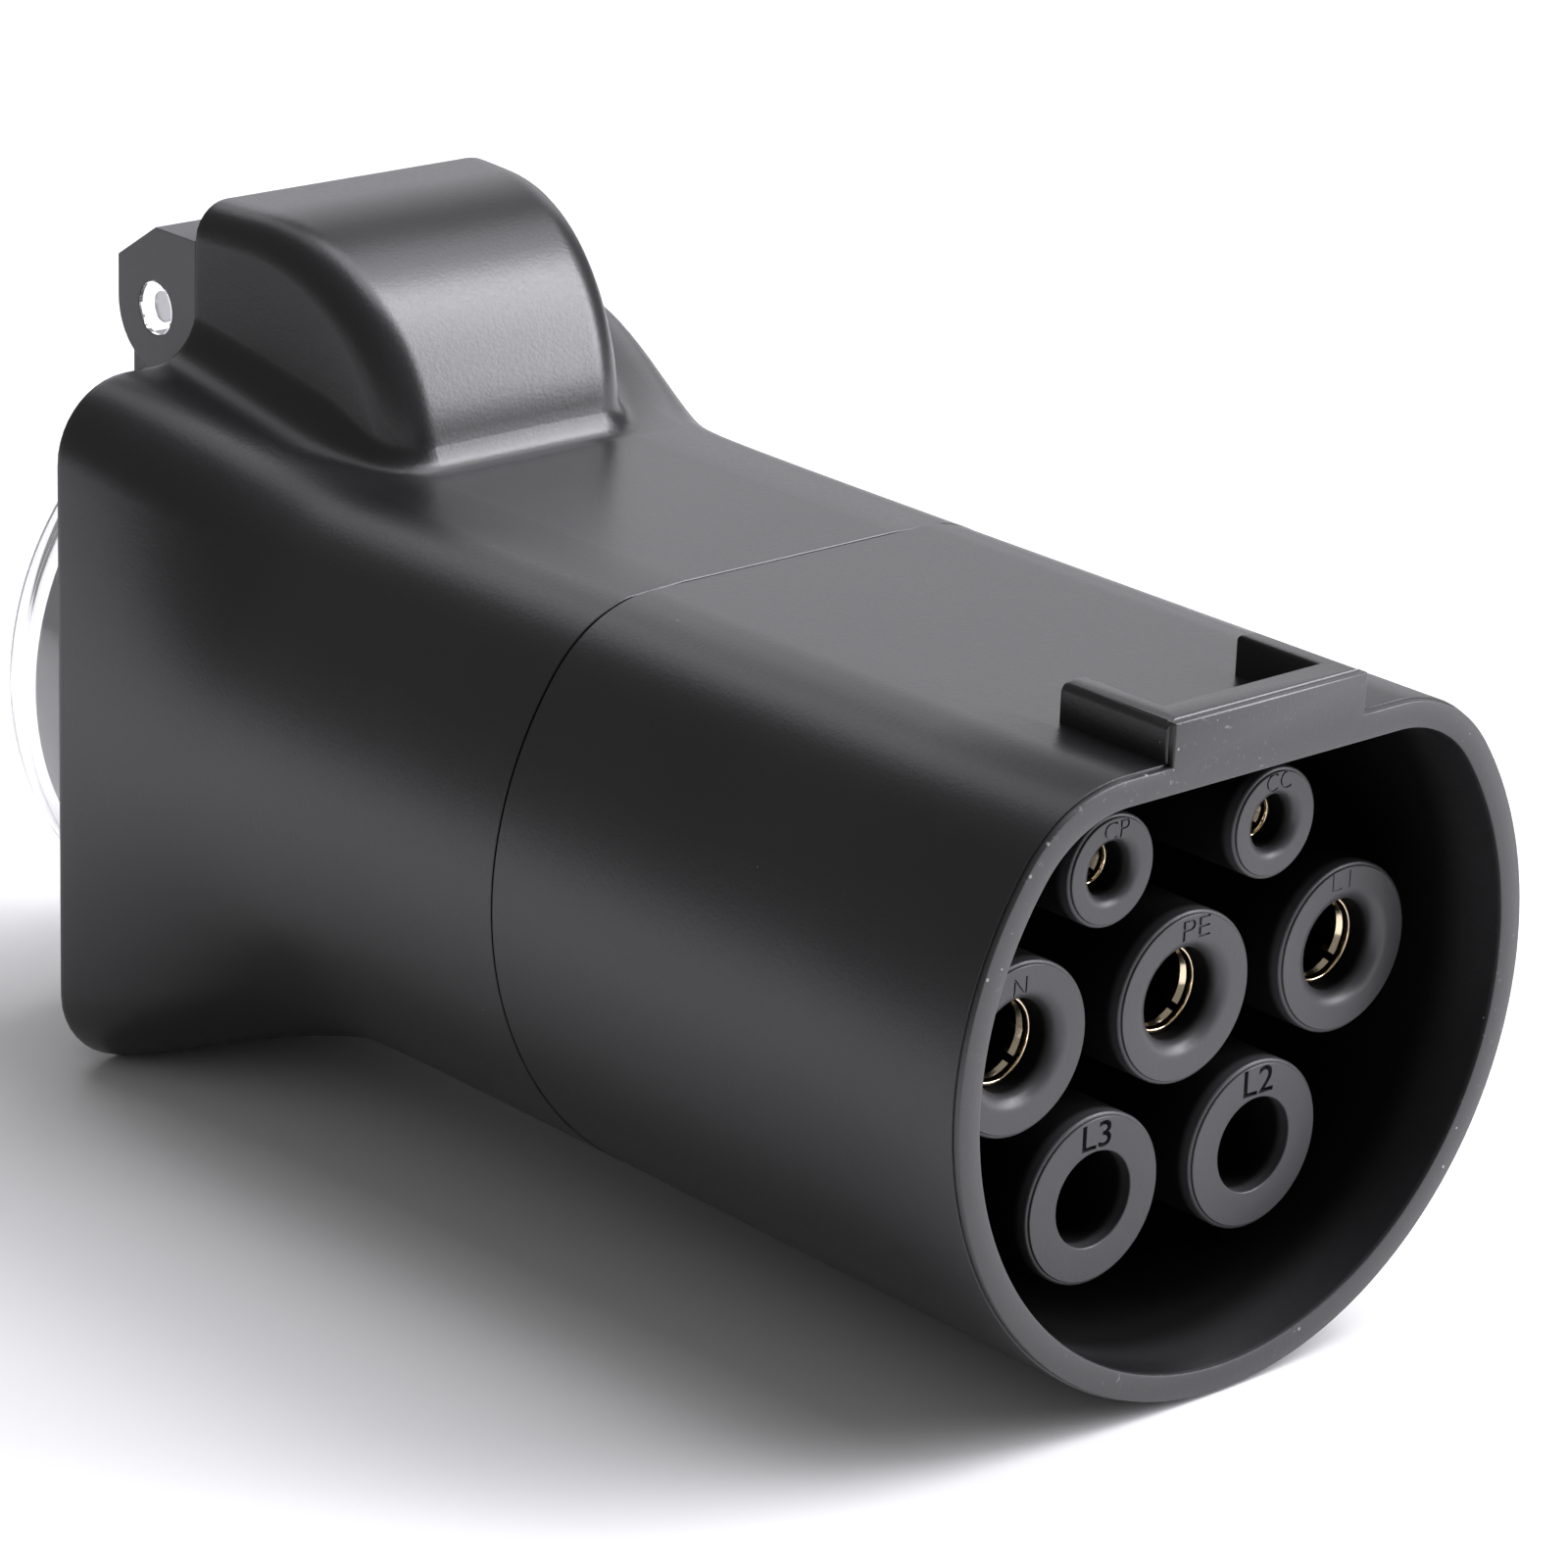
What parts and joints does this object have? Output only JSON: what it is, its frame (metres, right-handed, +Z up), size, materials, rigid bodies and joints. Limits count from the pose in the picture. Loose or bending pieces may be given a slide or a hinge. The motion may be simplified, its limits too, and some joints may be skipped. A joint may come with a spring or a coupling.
{
  "type": "vehicle to load adapter",
  "caption": "Black charging-port adapter with seven contact towers at the front and a mains outlet under a clear spring lid at the back.",
  "frame": {"origin": "bottom centre of the adapter's bounding box", "axes": "+X to the right seen from the front, +Y from the nose rim back to the lid, +Z up"},
  "size_m": [0.0562, 0.1194, 0.0695],
  "materials": {
    "black_plastic": "fine grain",
    "grey_plastic": "plain",
    "pale_grey_plastic": "satin",
    "clear_plastic": "clear",
    "gold_plate": "satin plated",
    "brass": "bare",
    "steel": "zinc plated",
    "black_metal": "satin",
    "black_rubber": "matte",
    "pale_rubber": "matte",
    "board_green": "solder mask",
    "resistor_tan": "lacquer",
    "lead_blue": "insulation",
    "lead_green": "insulation",
    "lead_brown": "insulation",
    "lead_orange": "insulation",
    "lead_white": "insulation"
  },
  "bodies": {
    "adapter": {"front_housing": "black_plastic", "contact_carrier": "black_plastic", "contact_n": "gold_plate", "contact_pe": "gold_plate", "contact_l1": "gold_plate", "contact_cp": "gold_plate", "contact_cc": "gold_plate", "power_spring_rings": "steel", "pilot_spring_rings": "steel", "contact_retainer": "grey_plastic", "retainer_screws": "steel", "seam_seal": "black_rubber", "rear_housing": "black_plastic", "housing_screws": "steel", "coding_board": "board_green", "coding_resistors": "resistor_tan", "board_screws": "steel", "lead_neutral": "lead_blue", "lead_earth": "lead_green", "lead_line": "lead_brown", "lead_cp": "lead_orange", "lead_cc": "lead_white", "contact_block": "grey_plastic", "block_screws": "steel", "outlet_contact_neutral": "brass", "outlet_contact_line": "brass", "earth_strap": "brass", "terminal_screws": "steel", "outlet_insert": "pale_grey_plastic", "plate_gasket": "black_rubber", "outlet_plate": "black_plastic", "plate_screws": "steel", "hinge_bracket": "black_metal", "bracket_rivets": "black_metal", "lid_spring": "steel"},
    "lid": {"lid": "clear_plastic", "lid_seal": "pale_rubber", "spring_rod": "steel"}
  },
  "joints": [
    {"name": "lid_hinge", "type": "hinge", "parent": "adapter", "child": "lid", "pos_m": [0, 0.04855, 0.05985], "axis": [1, 0, 0], "range_deg": [0, 110], "stiffness_Nm_per_rad": 0.02, "springref_deg": -40.11, "deforming": ["lid_spring"]}
  ]
}
